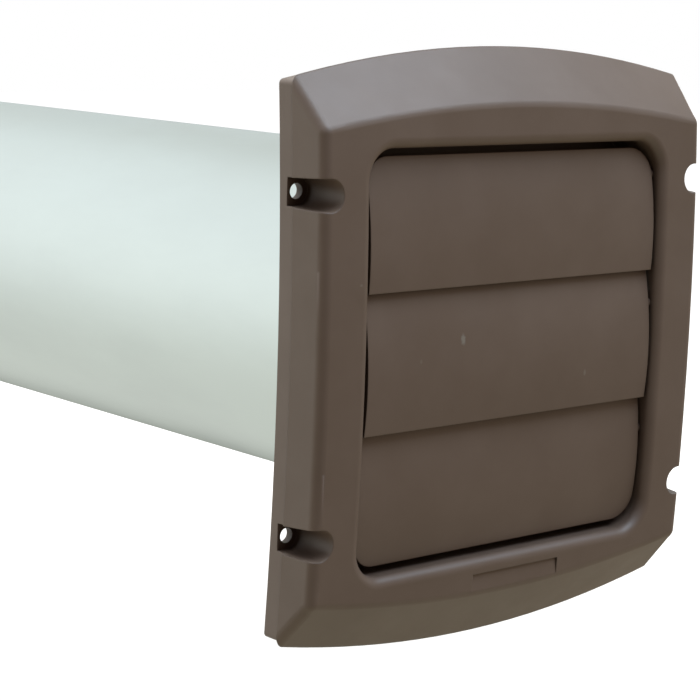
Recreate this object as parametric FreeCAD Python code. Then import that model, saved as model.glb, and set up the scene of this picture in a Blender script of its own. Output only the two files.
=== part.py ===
"""Louvred dryer vent cap: a moulded plastic hood with three swinging louvres on a rolled aluminium duct.

Frame: X to the right seen from outside, Y into the wall, Z up, millimetres.
The origin is where the duct's axis meets the wall plane, so the hood lies at negative Y.
"""
import FreeCAD
import Part
import math
import os
from FreeCAD import Vector

# Duct, rolled from sheet with one lock seam
duct_diameter = 101.6
duct_sheet = 0.4
duct_length = 279.4
seam_width = 6.0
seam_height = 0.9
seam_angle = -25.0

# Collar of the hood, inside the duct
collar_clearance = 0.15
collar_wall = 2.0
collar_length = 28.0
collar_lead_in = 1.0

# Hood outline: straight sides, arched top and bottom, bowed over its height
hood_drop = 1.75
flange_half_width = 74.75
corner_half_height = 75.7
arch_rise = 7.4
side_draft = 1.8
bevel_inset = 13.3
face_arch_rise = 5.8
hood_depth = 20.5
band_depth = 6.3
band_step = 1.1
band_corner_radius = 1.5
bow_depth = 3.2
hood_wall = 2.2
face_edge_radius = 3.0

# Louvre opening and the chamber behind it
opening_half_width = 56.6
opening_top = 57.4
opening_bottom = -58.4
opening_corner_radius = 9.0
opening_edge_radius = 2.7
chamber_wall = 2.0
back_plate = 2.0

# Screw pockets, one near each corner
screw_edge_distance = 4.1
screw_half_spacing_z = 46.0
screw_hole_radius = 2.1
pocket_radius = 3.7
pocket_draft = 2.6
pocket_floor_below_band = 3.3
pocket_floor = 2.4
pocket_wall = 1.8

# Bare recessed panel under the opening
panel_width = 34.0
panel_height = 5.0
panel_centre_x = 3.5
panel_centre_z = -65.2
panel_depth = 0.7

# Louvres: curved panels that swing on end pins
louvre_count = 3
louvre_pitch = 38.05
louvre_end_gap = 1.2
louvre_top_gap = 2.2
louvre_bottom_gap = 2.4
louvre_overlap = 2.0
louvre_thickness = 1.5
louvre_crown = 1.7
lip_behind_face = 2.6
top_behind_lip = 2.0
top_lip_height = 19.2
pivot_above_lip = 28.2
pivot_behind_lip = 2.0
top_pivot_set_back = 1.6
bottom_louvre_tilt = 5.0
bottom_pivot_set_back = 1.3
pin_radius = 1.5
pin_clearance = 0.08
pin_end_gap = 0.3
ear_radius = 3.2
ear_thickness = 2.2

# Values that follow from the sizes above
duct_radius = duct_diameter / 2
collar_radius = duct_radius - duct_sheet - collar_clearance
hood_z = -hood_drop
half_height = corner_half_height + arch_rise
bow_radius = (half_height ** 2 + bow_depth ** 2) / (2 * bow_depth)
face_half_width = flange_half_width - side_draft
face_corner_half_height = corner_half_height - bevel_inset
screw_half_spacing_x = flange_half_width - screw_edge_distance
rim_y = -bow_depth
band_y = rim_y - band_depth
face_y = -hood_depth
bow_axis_y = rim_y + bow_radius
lip_y = face_y + lip_behind_face
louvre_half_length = opening_half_width - louvre_end_gap
top_louvre_tilt = -math.degrees(math.asin(top_pivot_set_back / pivot_above_lip))
reach = 2 * half_height
X_AXIS = Vector(1, 0, 0)
Y_AXIS = Vector(0, 1, 0)


def bow_offset(z, y):
    """How far back a bowed surface lies at height z, where it stands at depth y at mid-height."""
    radius = bow_axis_y - y
    return radius - math.sqrt(radius ** 2 - z ** 2)


def behind_bow(y):
    """Everything behind the bowed surface that stands at depth y at mid-height."""
    return Part.makeCylinder(bow_axis_y - y, 2 * reach, Vector(-reach, bow_axis_y, hood_z), X_AXIS)


def spots(edge):
    """Five places along an edge."""
    start, span = edge.FirstParameter, edge.LastParameter - edge.FirstParameter
    return [edge.valueAt(start + span * i / 4) for i in range(5)]


def on_bow(edge, y):
    """True where the edge lies on the bowed surface that stands at depth y at mid-height."""
    return not edge.Degenerated and all(
        abs(math.hypot(p.y - bow_axis_y, p.z - hood_z) - (bow_axis_y - y)) < 0.01 for p in spots(edge))


def arched_wire(half_width, corner, rise, y):
    """Outline with straight sides and arched top and bottom, in the plane at depth y."""
    top_left = Vector(-half_width, y, hood_z + corner)
    top_right = Vector(half_width, y, hood_z + corner)
    low_left = Vector(-half_width, y, hood_z - corner)
    low_right = Vector(half_width, y, hood_z - corner)
    top = Part.Arc(top_left, Vector(0, y, hood_z + corner + rise), top_right)
    low = Part.Arc(low_right, Vector(0, y, hood_z - corner - rise), low_left)
    right = Part.LineSegment(top_right, low_right)
    left = Part.LineSegment(low_left, top_left)
    return Part.Wire([top.toShape(), right.toShape(), low.toShape(), left.toShape()])


def wide_arched_wire(half_width, corner, rise, y):
    """The same outline with its arches carried on past the sides."""
    radius = (half_width ** 2 + rise ** 2) / (2 * rise)
    wider = half_width + hood_depth
    wider_rise = radius - math.sqrt(radius ** 2 - wider ** 2)
    return arched_wire(wider, corner + rise - wider_rise, wider_rise, y)


def edges_along_y(block):
    return [e for e in block.Edges if abs(e.tangentAt(e.FirstParameter).dot(Y_AXIS)) > 0.99]


def rounded_prism(half_width, bottom, top, radius, y_front, y_back):
    """Upright rounded rectangle, run from y_front to y_back; heights count from the hood's centre."""
    block = Part.makeBox(2 * half_width, y_back - y_front, top - bottom,
                         Vector(-half_width, y_front, hood_z + bottom))
    return block.makeFillet(radius, edges_along_y(block))


def bowed_sides(inset, front_y, radius):
    """Drafted sides and face as one section at mid-height, swept along the bow; radius rounds the side edges."""
    back, front = flange_half_width - inset, face_half_width - inset
    front += side_draft * (front_y - face_y) / (band_y - face_y)
    root, corner = Vector(back, band_y, hood_z), Vector(front, front_y, hood_z)
    side = (root - corner).normalize()
    half_angle = math.acos(-side.x) / 2
    run = radius / math.tan(half_angle)
    bend = corner + (side - X_AXIS).normalize() * (radius / math.sin(half_angle) - radius)
    on_face, on_side = corner - X_AXIS * run, corner + side * run

    def other(point):
        return Vector(-point.x, point.y, point.z)

    path = [Part.LineSegment(other(root), root), Part.LineSegment(root, on_side),
            Part.LineSegment(on_face, other(on_face)), Part.LineSegment(other(on_side), other(root))]
    if radius > 0:
        path += [Part.Arc(on_side, bend, on_face), Part.Arc(other(on_face), other(bend), other(on_side))]
    section = Part.Face(Part.Wire(Part.__sortEdges__([p.toShape() for p in path])))
    axis_point = Vector(0, bow_axis_y, hood_z)
    sweep = math.degrees(math.asin(1.2 * half_height / bow_radius))
    section.rotate(axis_point, X_AXIS, -sweep)
    return section.revolve(axis_point, X_AXIS, 2 * sweep)


def bevel_form(inset):
    """Top and bottom bevels, straight from the band's arch to the face's arch."""
    near_y = band_y + bow_offset(corner_half_height, band_y)
    far_y = face_y + bow_offset(face_corner_half_height, face_y)

    def section(y):
        share = (y - near_y) / (far_y - near_y)
        return wide_arched_wire(flange_half_width - share * side_draft, corner_half_height - share * bevel_inset - inset,
                                arch_rise + share * (face_arch_rise - arch_rise), y)

    return Part.makeLoft([section(0), section(face_y - hood_wall)], True, True)


def hood_band(inset, back_y):
    """Plain band behind the bevels, from the bowed back to where the bevels start."""
    wire = arched_wire(flange_half_width - band_step - inset, corner_half_height - band_step - inset, arch_rise, face_y)
    band = Part.Face(wire).extrude(Vector(0, hood_depth + bow_depth, 0))
    band = band.makeFillet(band_corner_radius, edges_along_y(band))
    return band.common(behind_bow(band_y)).cut(behind_bow(back_y))


def hood_front():
    """Bevelled front of the hood with rounded edges all round its face and down its hips."""
    block = bowed_sides(0, face_y, face_edge_radius).common(bevel_form(0)).Solids[0]
    bevels = [e for e in block.Edges
              if abs(e.CenterOfMass.z - hood_z) > face_corner_half_height / 2 and not on_bow(e, band_y)]
    return block.makeFillet(face_edge_radius, bevels)


def chamber(grow, y_front, y_back):
    """The louvre chamber's rounded rectangle, larger by grow on every side."""
    return rounded_prism(opening_half_width + grow, opening_bottom - grow, opening_top + grow,
                         opening_corner_radius + grow, y_front, y_back)


def screw_places():
    return [(sx * screw_half_spacing_x, hood_z + sz * screw_half_spacing_z, sx)
            for sx in (-1, 1) for sz in (-1, 1)]


def drafted_radius(depth):
    """Half width of a screw pocket at a height above its floor."""
    return pocket_radius + depth * math.tan(math.radians(pocket_draft))


def boss_form(x, z, side, radius, y_front, y_back):
    """Block with a round inner end that runs out through the hood's side."""
    depth = y_back - y_front
    end = Part.makeCylinder(radius, depth, Vector(x, y_front, z), Y_AXIS)
    run = Part.makeBox(reach, depth, 2 * radius, Vector(x if side > 0 else x - reach, y_front, z - radius))
    return end.fuse(run).removeSplitter()


def pocket_form(x, z, side, y_front, floor_y):
    """Slot with a round inner end that narrows toward its floor and runs out through the hood's side."""
    wide = drafted_radius(floor_y - y_front)
    end = Part.makeCone(wide, pocket_radius, floor_y - y_front, Vector(x, y_front, z), Y_AXIS)
    points = [Vector(x, y_front, z - wide), Vector(x, y_front, z + wide),
              Vector(x, floor_y, z + pocket_radius), Vector(x, floor_y, z - pocket_radius)]
    run = Part.Face(Part.makePolygon(points + points[:1])).extrude(Vector(side * reach, 0, 0))
    return end.fuse(run).removeSplitter()


def label_panel():
    """Wedge cut for the bare panel: deepest along its top edge and level with the face at its bottom."""
    top = panel_centre_z + panel_height / 2
    bottom = panel_centre_z - panel_height / 2
    top_y = face_y + bow_offset(top, face_y) + panel_depth
    bottom_y = face_y + bow_offset(bottom, face_y)
    left = panel_centre_x - panel_width / 2
    points = [Vector(left, top_y, hood_z + top), Vector(left, bottom_y, hood_z + bottom),
              Vector(left, face_y - hood_wall, hood_z + bottom), Vector(left, face_y - hood_wall, hood_z + top)]
    return Part.Face(Part.makePolygon(points + points[:1])).extrude(Vector(panel_width, 0, 0))


def louvre_pivot(index):
    """Middle of a louvre's pivot axis; louvres count from the top down, the first and the last set back."""
    set_back = {0: top_pivot_set_back, louvre_count - 1: bottom_pivot_set_back}.get(index, 0)
    height = hood_z + top_lip_height + pivot_above_lip - index * louvre_pitch
    return Vector(0, lip_y + pivot_behind_lip + set_back, height)


def make_hood():
    outer = hood_front().fuse(hood_band(0, rim_y))
    void_front = bowed_sides(hood_wall, face_y + hood_wall, 0).common(bevel_form(hood_wall))
    shell = outer.cut(void_front).cut(hood_band(hood_wall, 0))
    walls = chamber(chamber_wall, face_y, 0).common(behind_bow(face_y + hood_wall / 2))
    shell = shell.fuse(walls)
    floor_y = band_y + bow_offset(screw_half_spacing_z, band_y) + pocket_floor_below_band
    for x, z, side in screw_places():
        boss_radius = drafted_radius(floor_y - face_y) + pocket_wall
        boss = boss_form(x, z, side, boss_radius, face_y, floor_y + pocket_floor)
        shell = shell.fuse(boss.common(outer))
    shell = shell.cut(chamber(0, 2 * face_y, -back_plate))
    for x, z, side in screw_places():
        shell = shell.cut(pocket_form(x, z, side, 2 * face_y, floor_y))
        shell = shell.cut(Part.makeCylinder(screw_hole_radius, hood_depth, Vector(x, face_y, z), Y_AXIS))
    mouth = [e for e in shell.Edges if on_bow(e, face_y) and inside_opening(e)]
    shell = shell.makeFillet(opening_edge_radius, mouth)
    shell = shell.cut(label_panel())
    collar = Part.makeCylinder(collar_radius, collar_length + back_plate, Vector(0, -back_plate, 0), Y_AXIS)
    tip = [e for e in collar.Edges if abs(e.CenterOfMass.y - collar_length) < 0.01 and e.Closed]
    shell = shell.fuse(collar.makeChamfer(collar_lead_in, tip))
    bore = Part.makeCylinder(collar_radius - collar_wall, collar_length + hood_depth,
                             Vector(0, -back_plate - 1, 0), Y_AXIS)
    shell = shell.cut(bore)
    half_run = opening_half_width + 2 * chamber_wall
    for index in range(louvre_count):
        start = louvre_pivot(index) - X_AXIS * half_run
        shell = shell.cut(Part.makeCylinder(pin_radius + pin_clearance, 2 * half_run, start, X_AXIS))
    return shell.removeSplitter()


def inside_opening(edge):
    """True for an edge of the louvre opening's mouth."""
    slack = 0.1
    return all(abs(p.x) < opening_half_width + slack
               and opening_bottom - slack < p.z - hood_z < opening_top + slack for p in spots(edge))


def louvre_section(low, high):
    """Curved strip in the YZ plane between two heights, pivot at the origin, and the round form of its front."""
    lip = Vector(0, -pivot_behind_lip, -pivot_above_lip)
    level = louvre_pitch
    top_point = Vector(0, top_behind_lip - pivot_behind_lip, level - pivot_above_lip)
    chord = top_point - lip
    normal = Vector(0, -chord.z, chord.y).normalize()
    crown_point = lip + chord * 0.5 + normal * louvre_crown
    radius = (chord.Length ** 2 / 4 + louvre_crown ** 2) / (2 * louvre_crown)
    centre = crown_point - normal * radius

    def at(z, r):
        return Vector(0, centre.y - math.sqrt(r ** 2 - (z - centre.z) ** 2), z)

    middle = (low + high) / 2
    inner = radius - louvre_thickness
    front = Part.Arc(at(low, radius), at(middle, radius), at(high, radius))
    back = Part.Arc(at(high, inner), at(middle, inner), at(low, inner))
    ends = [Part.LineSegment(at(high, radius), at(high, inner)), Part.LineSegment(at(low, inner), at(low, radius))]
    wire = Part.Wire([front.toShape(), ends[0].toShape(), back.toShape(), ends[1].toShape()])
    return wire, centre, radius


def make_louvre(index):
    """One louvre with its ears and pins, hung closed at its own pivot."""
    pivot = louvre_pivot(index)
    first, last = index == 0, index == louvre_count - 1
    low, high = -pivot_above_lip, louvre_pitch + louvre_overlap - pivot_above_lip
    if first:
        high = hood_z + opening_top - pivot.z
    if last:
        low = hood_z + opening_bottom - pivot.z
    wire, centre, radius = louvre_section(low, high)
    length = 2 * louvre_half_length
    louvre = Part.Face(wire).extrude(Vector(length, 0, 0))
    louvre.translate(Vector(-louvre_half_length, 0, 0))
    front_form = Part.makeCylinder(radius, length, Vector(-louvre_half_length, centre.y, centre.z), X_AXIS)
    for side in (-1, 1):
        ear = Part.makeCylinder(ear_radius, ear_thickness, Vector(0, 0, 0), X_AXIS)
        ear.translate(Vector(side * louvre_half_length - (ear_thickness if side > 0 else 0), 0, 0))
        louvre = louvre.fuse(ear.common(front_form))
    tilt = {0: top_louvre_tilt, louvre_count - 1: bottom_louvre_tilt}.get(index, 0)
    louvre.rotate(Vector(0, 0, 0), X_AXIS, tilt)
    louvre.translate(pivot)
    if first or last:
        louvre = louvre.cut(past_louvre_edge(first))
    pin_length = louvre_end_gap + chamber_wall - pin_end_gap
    for side in (-1, 1):
        start = pivot + X_AXIS * (side * louvre_half_length - (ear_thickness if side > 0 else pin_length))
        louvre = louvre.fuse(Part.makeCylinder(pin_radius, pin_length + ear_thickness, start, X_AXIS))
    return louvre.removeSplitter()


def past_louvre_edge(first):
    """What lies past the first louvre's top edge or the last one's bottom edge, whose corners follow the opening."""
    radius = opening_corner_radius - louvre_end_gap
    level = hood_z + (opening_top - louvre_top_gap if first else opening_bottom + louvre_bottom_gap)
    inward = Vector(0, 0, -radius if first else radius)
    left = Vector(-louvre_half_length, 2 * face_y, level)
    right = Vector(louvre_half_length, 2 * face_y, level)
    path = []
    for corner, along in ((left, X_AXIS * radius), (right, X_AXIS * -radius)):
        middle = corner + (along + inward) * (1 - math.sqrt(0.5))
        path.append(Part.Arc(corner + inward, middle, corner + along))
    path += [Part.LineSegment(left + X_AXIS * radius, right - X_AXIS * radius),
             Part.LineSegment(right + inward, right - inward), Part.LineSegment(right - inward, left - inward),
             Part.LineSegment(left - inward, left + inward)]
    wire = Part.Wire(Part.__sortEdges__([p.toShape() for p in path]))
    return Part.Face(wire).extrude(Vector(0, 2 * hood_depth, 0))


def make_duct():
    outer = Part.makeCylinder(duct_radius, duct_length, Vector(0, 0, 0), Y_AXIS)
    inner = Part.makeCylinder(duct_radius - duct_sheet, duct_length, Vector(0, 0, 0), Y_AXIS)
    seam_start = collar_length + seam_width / 2
    seam = Part.makeBox(seam_width, duct_length - seam_start, duct_sheet + seam_height,
                        Vector(-seam_width / 2, seam_start, duct_radius - duct_sheet - seam_height))
    seam.rotate(Vector(0, 0, 0), Y_AXIS, 90 - seam_angle)
    return outer.cut(inner).fuse(seam.common(outer)).removeSplitter()


def main():
    os.makedirs("parts", exist_ok=True)
    names = ["louvre_top", "louvre_middle", "louvre_bottom"]
    shapes = {"hood_frame": make_hood(), "duct_pipe": make_duct()}
    for i, name in enumerate(names):
        shapes[name] = make_louvre(i)
    for name, shape in shapes.items():
        print(name, len(shape.Solids), shape.isValid(), round(shape.Volume, 1), shape.BoundBox)
        shape.exportStep("parts/" + name + ".step")


main()
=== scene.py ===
"""Dresses the louvred dryer vent cap: satin brown plastic hood and louvres on a satin aluminium duct."""
import math
import bpy
from mathutils import Matrix, Vector

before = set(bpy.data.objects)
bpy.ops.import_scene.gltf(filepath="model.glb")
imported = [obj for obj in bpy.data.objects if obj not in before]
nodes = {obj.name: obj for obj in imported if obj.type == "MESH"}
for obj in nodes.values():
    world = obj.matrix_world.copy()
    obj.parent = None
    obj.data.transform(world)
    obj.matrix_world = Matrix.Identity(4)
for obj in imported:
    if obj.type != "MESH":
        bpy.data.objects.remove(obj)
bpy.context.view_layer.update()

# Camera: place in metres, turns in degrees, focal length and frame in pixels, sensor in millimetres
CAMERA_PLACE = Vector((-0.425125, -0.434343, 0.096596))
CAMERA_YAW = 41.137
CAMERA_PITCH = 9.557
CAMERA_ROLL = 1.913
FOCAL_PIXELS = 2148.42
FRAME_PIXELS = 700
SENSOR_WIDTH = 36.0
NEAREST_SEEN = 0.01
FURTHEST_SEEN = 50.0

# All colours are linear, noises are in waves a metre, and lengths are in metres
WHITE = (1.0, 1.0, 1.0)

# Moulded plastic
BROWN = (0.136, 0.092, 0.066)
BROWN_WORN = (0.158, 0.110, 0.082)
MOTTLE_NOISE = {"waves": 38.0, "detail": 4.0, "rough": 0.6}
MOTTLE_ENDS = (0.35, 0.75)
GLOSS_NOISE = {"waves": 95.0, "detail": 4.0, "rough": 0.6}
PLASTIC_ROUGHNESS = (0.37, 0.52)
PLASTIC_IOR = 1.5
GRAIN_NOISE = {"waves": 2600.0, "detail": 2.0, "rough": 0.5}
GRAIN_STRENGTH = 0.35
HOOD_GRAIN_HEIGHT = 0.00004
LOUVRE_GRAIN_HEIGHT = 0.00003
SOFT_EDGE_RADIUS = 0.0005
SOFT_EDGE_SAMPLES = 4

# Painted shade in narrow hollows of the plastic: full at the first share of open sky and gone at the second
PAINTED_SHADE = (0.045, 0.026, 0.017)
PAINTED_SHADE_REACH = 0.010
PAINTED_SHADE_SAMPLES = 6
PAINTED_SHADE_ENDS = (0.25, 0.80)

# Scuffs on the part at rest: place, reach along X, Y and Z, and strength, with ends in shares of reach
SCUFF = (0.34, 0.33, 0.28)
SCUFF_NOISE = {"waves": 1500.0, "detail": 3.0, "rough": 0.6}
SCUFF_ENDS = (1.6, 0.9)
LOUVRE_SCUFFS = [((-0.0207, -0.0184, 0.0030), (0.0010, 0.003, 0.0019), 0.38),
                 ((0.0282, -0.0183, -0.0106), (0.0006, 0.003, 0.0011), 0.25),
                 ((-0.0364, -0.0183, -0.0018), (0.0005, 0.003, 0.0007), 0.15)]
HOOD_SCUFFS = [((-0.0602, -0.0204, 0.0207), (0.0005, 0.003, 0.0005), 0.2)]

# Rolled aluminium, with marks drawn out along the duct
ALUMINIUM = (0.77, 0.84, 0.81)
ALUMINIUM_SMUDGED = tuple(0.94 * c for c in ALUMINIUM)
SMUDGE_NOISE = {"waves": 26.0, "detail": 5.0, "rough": 0.6, "stretch": (1.0, 0.35, 1.0)}
SMUDGE_ENDS = (0.36, 0.60)
METAL_ROUGHNESS = (0.30, 0.46)
DENT_NOISE = {"waves": 26.0, "detail": 1.0, "rough": 0.4, "stretch": (1.0, 0.12, 1.0)}
DENT_STRENGTH = 0.5
DENT_HEIGHT = 0.0006
STREAK_NOISE = {"waves": 110.0, "detail": 4.0, "rough": 0.6, "stretch": (1.0, 0.06, 1.0)}
STREAK_STRENGTH = 0.07
STREAK_HEIGHT = 0.00005

# Room round the part: colours, and the ends of their blends along a direction's X, Y or Z
ROOM_FRONT_LEFT = (0.17, 0.13, 0.10)
ROOM_FRONT_RIGHT = (0.39, 0.30, 0.23)
ROOM_BACK = (1.22, 1.25, 1.15)
ROOM_BELOW = (0.58, 0.58, 0.47)
ROOM_ABOVE = (0.13, 0.18, 0.29)
ROOM_RIGHT = (0.50, 0.43, 0.33)
FRONT_ENDS_X = (-0.50, 0.40)
BACK_ENDS_Y = (-0.10, 0.40)
BELOW_ENDS_Z = (-0.25, -0.65)
ABOVE_ENDS_Z = (0.30, 0.70)
RIGHT_ENDS_X = (0.60, 0.90)

# Backdrop that mirrors see: colours, directions of its brightest and darkest places, and ends of blends
BACKDROP = (0.74, 0.75, 0.72)
BACKDROP_GLOW = (1.06, 1.09, 1.10)
BACKDROP_BELOW = (0.70, 0.70, 0.67)
BACKDROP_CORNER = (0.10, 0.11, 0.11)
GLOW_AT = (-0.44, 0.745, 0.50)
CORNER_AT = (0.58, 0.76, -0.28)
GLOW_ENDS = (0.58, 1.0)
CORNER_ENDS = (0.90, 0.985)
BACKDROP_ENDS_Y = (0.30, 0.65)

# Floor: its glow rises from the first to the second value between two distances from the origin
FLOOR_HALF_WIDTH = 6.0
FLOOR_HEIGHT = -0.30
FLOOR_PALE = (0.55, 0.47, 0.40)
FLOOR_ROUGHNESS = 0.9
FLOOR_GLOW = (0.25, 1.0)
FLOOR_GLOW_ENDS = (0.5, 1.4)

# Lamps: place, target and side lengths, and power in watts
SKY = {"place": (0.33, -0.46, 1.10), "target": (0, 0, 0), "size": (1.0, 1.0),
       "power": 17.2, "colour": (0.71, 0.85, 1.0)}
OVERHEAD = {"place": (-0.3, 0.5, 1.5), "target": (0, 0.1, -0.3), "size": (1.6, 1.6),
            "power": 50.0, "colour": (0.76, 0.89, 1.0)}


def put(tree, socket, value):
    """Links an output to an input socket, or sets the socket to a plain value."""
    if isinstance(value, bpy.types.NodeSocket):
        tree.links.new(value, socket)
    elif socket.type == "RGBA":
        socket.default_value = (*value, 1)
    else:
        socket.default_value = value


def wire(tree, node, inputs):
    """Sets or links some inputs of a node, by name or number."""
    for key, value in inputs.items():
        put(tree, node.inputs[key], value)


def add(tree, kind, inputs=None, **settings):
    """A new node with its settings, and with some inputs set or linked."""
    node = tree.nodes.new(kind)
    for name, value in settings.items():
        setattr(node, name, value)
    wire(tree, node, inputs or {})
    return node


def new_material(name):
    """A node material with its tree and its shader."""
    material = bpy.data.materials.new(name)
    material.use_nodes = True
    tree = material.node_tree
    return material, tree, tree.nodes["Principled BSDF"]


def noise(tree, waves, detail, rough, stretch=(1, 1, 1)):
    """Noise in the part's own space, drawn out along each axis whose stretch is under 1."""
    place = add(tree, "ShaderNodeTexCoord")
    mapping = add(tree, "ShaderNodeMapping", {"Vector": place.outputs["Object"], "Scale": stretch})
    texture = add(tree, "ShaderNodeTexNoise", {"Vector": mapping.outputs["Vector"], "Scale": waves,
                                               "Detail": detail, "Roughness": rough})
    return texture.outputs["Fac"]


def ramp(tree, value, low, high, ends):
    """Two-colour ramp of a value between its two ends."""
    node = add(tree, "ShaderNodeValToRGB", {"Fac": value})
    for element, position, colour in zip(node.color_ramp.elements, ends, (low, high)):
        element.position = position
        element.color = (*colour, 1)
    return node.outputs["Color"]


def spread(tree, value, low, high):
    """A value from 0 to 1 mapped to the range low to high."""
    node = add(tree, "ShaderNodeMapRange", {"Value": value, "To Min": low, "To Max": high})
    return node.outputs["Result"]


def fade(tree, value, ends, low=0.0, high=1.0):
    """Eases from low to high as a value goes from the first end to the second."""
    node = add(tree, "ShaderNodeMapRange", {"Value": value, "From Min": ends[0], "From Max": ends[1],
                                            "To Min": low, "To Max": high}, interpolation_type="SMOOTHSTEP")
    return node.outputs["Result"]


def blend(tree, share, first, second):
    """A mix of two colours, by the share of the second; the numbers are the node's colour sockets."""
    node = add(tree, "ShaderNodeMix", {"Factor": share, 6: first, 7: second}, data_type="RGBA")
    return node.outputs[2]


def compute(tree, operation, first, second):
    """The result of an operation on two values."""
    return add(tree, "ShaderNodeMath", {0: first, 1: second}, operation=operation).outputs["Value"]


def vector_node(tree, operation, first, second=None):
    """A node that works on one or two vectors."""
    inputs = {0: first} if second is None else {0: first, 1: second}
    return add(tree, "ShaderNodeVectorMath", inputs, operation=operation)


def scuffed(tree, colour, scuffs):
    """A colour with small pale scuffs at given places of the part's own space."""
    ragged = noise(tree, **SCUFF_NOISE)
    space = add(tree, "ShaderNodeTexCoord").outputs["Object"]
    for place, reach, strength in scuffs:
        away = vector_node(tree, "SUBTRACT", space, place).outputs["Vector"]
        share = vector_node(tree, "DIVIDE", away, reach).outputs["Vector"]
        size = vector_node(tree, "LENGTH", share).outputs["Value"]
        torn = compute(tree, "ADD", size, ragged)
        colour = blend(tree, fade(tree, torn, SCUFF_ENDS, high=strength), colour, SCUFF)
    return colour


def with_painted_shade(tree, colour):
    """A colour darkened by painted shade in hollows narrower than about the shade's reach."""
    # Ambient occlusion paints shade into the base colour of hollows
    hollow = add(tree, "ShaderNodeAmbientOcclusion", {"Distance": PAINTED_SHADE_REACH}, samples=PAINTED_SHADE_SAMPLES)
    return blend(tree, fade(tree, hollow.outputs["AO"], PAINTED_SHADE_ENDS), PAINTED_SHADE, colour)


def moulded_plastic(name, grain_height, scuffs):
    """Satin brown plastic: faint flow mottling, fine moulded grain, scuffs, painted shade in hollows and
    softened edges.
    """
    material, tree, shader = new_material(name)
    mottled = ramp(tree, noise(tree, **MOTTLE_NOISE), BROWN, BROWN_WORN, MOTTLE_ENDS)
    edge = add(tree, "ShaderNodeBevel", {"Radius": SOFT_EDGE_RADIUS}, samples=SOFT_EDGE_SAMPLES)
    grain = add(tree, "ShaderNodeBump", {"Height": noise(tree, **GRAIN_NOISE),
                                         "Normal": edge.outputs["Normal"],
                                         "Strength": GRAIN_STRENGTH, "Distance": grain_height})
    wire(tree, shader, {"Base Color": with_painted_shade(tree, scuffed(tree, mottled, scuffs)),
                        "Roughness": spread(tree, noise(tree, **GLOSS_NOISE), *PLASTIC_ROUGHNESS),
                        "IOR": PLASTIC_IOR, "Normal": grain.outputs["Normal"]})
    return material


def rolled_aluminium(name):
    """Satin sheet: rolling marks along the duct, faint dents and soft smudges."""
    material, tree, shader = new_material(name)
    smudge = noise(tree, **SMUDGE_NOISE)
    dents = add(tree, "ShaderNodeBump", {"Height": noise(tree, **DENT_NOISE),
                                         "Strength": DENT_STRENGTH, "Distance": DENT_HEIGHT})
    streaks = add(tree, "ShaderNodeBump", {"Height": noise(tree, **STREAK_NOISE),
                                           "Normal": dents.outputs["Normal"],
                                           "Strength": STREAK_STRENGTH, "Distance": STREAK_HEIGHT})
    wire(tree, shader, {"Base Color": ramp(tree, smudge, ALUMINIUM_SMUDGED, ALUMINIUM, SMUDGE_ENDS),
                        "Roughness": spread(tree, smudge, *METAL_ROUGHNESS),
                        "Metallic": 1.0, "Normal": streaks.outputs["Normal"]})
    return material


def dress(node_name, material):
    """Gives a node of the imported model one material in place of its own."""
    mesh = nodes[node_name].data
    mesh.materials.clear()
    mesh.materials.append(material)


def make_world():
    """White for the camera, a pale uneven backdrop in mirrors, else a room bright behind, dim in front."""
    world = bpy.data.worlds.new("studio")
    bpy.context.scene.world = world
    world.use_nodes = True
    tree = world.node_tree
    path = add(tree, "ShaderNodeLightPath")
    direction = add(tree, "ShaderNodeTexCoord").outputs["Generated"]
    along = add(tree, "ShaderNodeSeparateXYZ", {"Vector": direction}).outputs
    below = fade(tree, along["Z"], BELOW_ENDS_Z)

    room = blend(tree, fade(tree, along["X"], FRONT_ENDS_X), ROOM_FRONT_LEFT, ROOM_FRONT_RIGHT)
    room = blend(tree, fade(tree, along["Y"], BACK_ENDS_Y), room, ROOM_BACK)
    room = blend(tree, below, room, ROOM_BELOW)
    room = blend(tree, fade(tree, along["Z"], ABOVE_ENDS_Z), room, ROOM_ABOVE)
    room = blend(tree, fade(tree, along["X"], RIGHT_ENDS_X), room, ROOM_RIGHT)

    near_glow = vector_node(tree, "DOT_PRODUCT", direction, GLOW_AT).outputs["Value"]
    near_corner = vector_node(tree, "DOT_PRODUCT", direction, CORNER_AT).outputs["Value"]
    backdrop = blend(tree, fade(tree, near_glow, GLOW_ENDS), BACKDROP, BACKDROP_GLOW)
    backdrop = blend(tree, below, backdrop, BACKDROP_BELOW)
    backdrop = blend(tree, fade(tree, near_corner, CORNER_ENDS), backdrop, BACKDROP_CORNER)

    mirrored = compute(tree, "MAXIMUM", path.outputs["Is Glossy Ray"], path.outputs["Is Transmission Ray"])
    behind = compute(tree, "MULTIPLY", mirrored, fade(tree, along["Y"], BACKDROP_ENDS_Y))
    room = blend(tree, behind, room, backdrop)
    room = blend(tree, path.outputs["Is Camera Ray"], room, WHITE)
    wire(tree, tree.nodes["Background"], {"Color": room})


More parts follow.
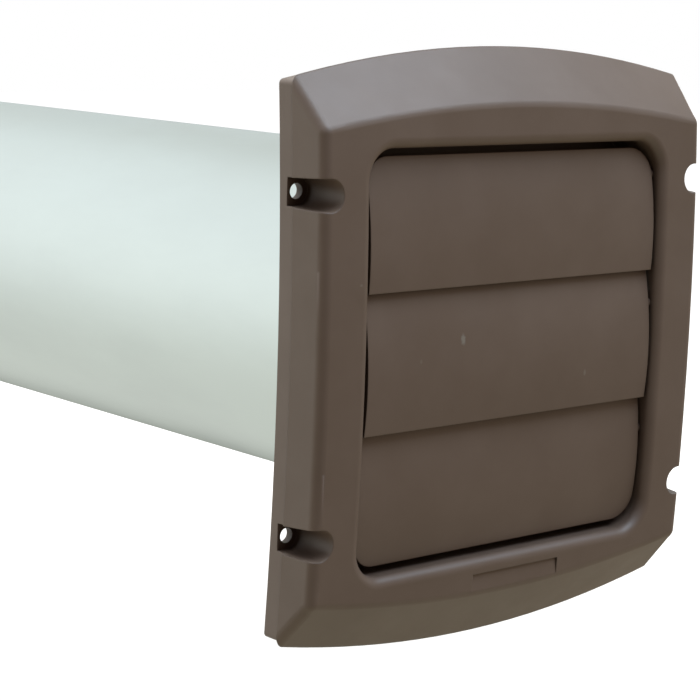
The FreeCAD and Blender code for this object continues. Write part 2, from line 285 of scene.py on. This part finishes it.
def make_floor():
    """Pale under the part, where its soft shadow falls, and white further off; only the camera sees it."""
    material, tree, shader = new_material("floor_white")
    place = add(tree, "ShaderNodeTexCoord").outputs["Object"]
    distance = vector_node(tree, "LENGTH", place).outputs["Value"]
    wire(tree, shader, {"Base Color": FLOOR_PALE, "Roughness": FLOOR_ROUGHNESS, "Specular IOR Level": 0.0,
                        "Emission Color": WHITE,
                        "Emission Strength": fade(tree, distance, FLOOR_GLOW_ENDS, *FLOOR_GLOW)})
    mesh = bpy.data.meshes.new("floor")
    corners = [(FLOOR_HALF_WIDTH * x, FLOOR_HALF_WIDTH * y, FLOOR_HEIGHT)
               for x, y in ((-1, -1), (1, -1), (1, 1), (-1, 1))]
    mesh.from_pydata(corners, [], [(0, 1, 2, 3)])
    mesh.materials.append(material)
    floor = bpy.data.objects.new("floor", mesh)
    floor.visible_glossy = False
    floor.visible_diffuse = False
    floor.visible_shadow = False
    bpy.context.collection.objects.link(floor)


def make_camera():
    """Camera at the photograph's viewpoint, with its turns and focal length."""
    yaw, pitch, roll = (math.radians(a) for a in (CAMERA_YAW, CAMERA_PITCH, CAMERA_ROLL))
    ahead = Vector((math.sin(yaw) * math.cos(pitch), math.cos(yaw) * math.cos(pitch), -math.sin(pitch)))
    level = Vector((math.cos(yaw), -math.sin(yaw), 0))
    upright = level.cross(ahead)
    right = math.cos(roll) * level + math.sin(roll) * upright
    up = -math.sin(roll) * level + math.cos(roll) * upright
    data = bpy.data.cameras.new("camera")
    data.sensor_width = SENSOR_WIDTH
    data.lens = SENSOR_WIDTH * FOCAL_PIXELS / FRAME_PIXELS
    data.clip_start = NEAREST_SEEN
    data.clip_end = FURTHEST_SEEN
    camera = bpy.data.objects.new("camera", data)
    turn = Matrix((right, up, -ahead)).transposed()
    camera.matrix_world = Matrix.Translation(CAMERA_PLACE) @ turn.to_4x4()
    bpy.context.collection.objects.link(camera)
    bpy.context.scene.camera = camera


def area_light(name, place, target, size, power, colour):
    """Soft rectangular light at a place, turned to a target."""
    data = bpy.data.lights.new(name, "AREA")
    data.shape = "RECTANGLE"
    data.size, data.size_y = size
    data.energy = power
    data.color = colour
    lamp = bpy.data.objects.new(name, data)
    lamp.location = place
    lamp.rotation_euler = (Vector(target) - Vector(place)).to_track_quat("-Z", "Y").to_euler()
    bpy.context.collection.objects.link(lamp)
    return lamp


dress("hood_frame", moulded_plastic("hood_plastic", HOOD_GRAIN_HEIGHT, HOOD_SCUFFS))
louvre_plastic = moulded_plastic("louvre_plastic", LOUVRE_GRAIN_HEIGHT, LOUVRE_SCUFFS)
for louvre in ("louvre_top", "louvre_middle", "louvre_bottom"):
    dress(louvre, louvre_plastic)
dress("duct_pipe", rolled_aluminium("duct_metal"))

make_world()
make_floor()
make_camera()
area_light("sky", **SKY)
overhead = area_light("overhead", **OVERHEAD)
overhead.visible_glossy = False
bpy.context.scene.view_settings.view_transform = "Standard"
